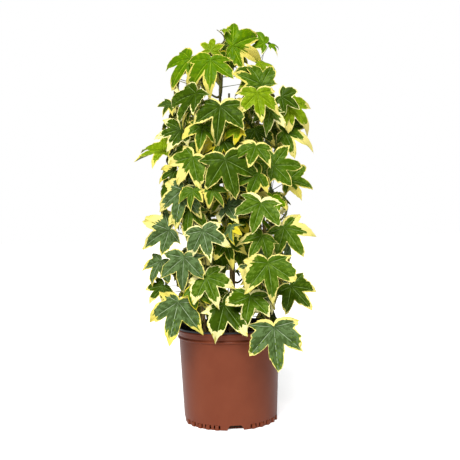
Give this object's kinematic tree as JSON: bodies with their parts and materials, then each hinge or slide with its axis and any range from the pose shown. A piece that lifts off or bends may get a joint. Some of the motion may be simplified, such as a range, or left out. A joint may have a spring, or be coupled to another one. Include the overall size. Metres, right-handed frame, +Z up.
{
  "type": "potted variegated tree ivy",
  "caption": "Upright evergreen tree ivy with large star-shaped, cream-edged green leaves on slender canes, growing in a red-brown round plastic nursery pot.",
  "frame": {"origin": "centre of the pot's flat underside, on the ground", "axes": "+Z up along the pot's axis, -Y towards the pictured front, +X to the right of it"},
  "size_m": [0.4593, 0.4219, 1.0033],
  "materials": {
    "pot_plastic": "satin",
    "potting_mix": "matte",
    "cane_bark": "matte",
    "foliage": "satin"
  },
  "bodies": {
    "root": {"cane_back": "cane_bark", "cane_left": "cane_bark", "cane_middle": "cane_bark", "cane_right": "cane_bark", "foliage_crest_1": "foliage", "foliage_crest_2": "foliage", "foliage_crest_3": "foliage", "foliage_high_1": "foliage", "foliage_high_2": "foliage", "foliage_high_3": "foliage", "foliage_high_4": "foliage", "foliage_high_5": "foliage", "foliage_high_6": "foliage", "foliage_low_1": "foliage", "foliage_low_2": "foliage", "foliage_low_3": "foliage", "foliage_low_4": "foliage", "foliage_low_5": "foliage", "foliage_low_6": "foliage", "foliage_middle_1": "foliage", "foliage_middle_2": "foliage", "foliage_middle_3": "foliage", "foliage_middle_4": "foliage", "foliage_middle_5": "foliage", "foliage_middle_6": "foliage", "foliage_middle_7": "foliage", "foliage_shoulder_1": "foliage", "foliage_shoulder_2": "foliage", "foliage_shoulder_3": "foliage", "foliage_shoulder_4": "foliage", "foliage_shoulder_5": "foliage", "foliage_skirt_1": "foliage", "foliage_skirt_2": "foliage", "foliage_skirt_3": "foliage", "foliage_skirt_4": "foliage", "foliage_skirt_5": "foliage", "foliage_skirt_6": "foliage", "foliage_tip": "foliage", "foliage_upper_1": "foliage", "foliage_upper_2": "foliage", "foliage_upper_3": "foliage", "foliage_upper_4": "foliage", "foliage_upper_5": "foliage", "foliage_upper_6": "foliage", "foliage_upper_7": "foliage", "pot": "pot_plastic", "soil": "potting_mix"}
  },
  "joints": []
}
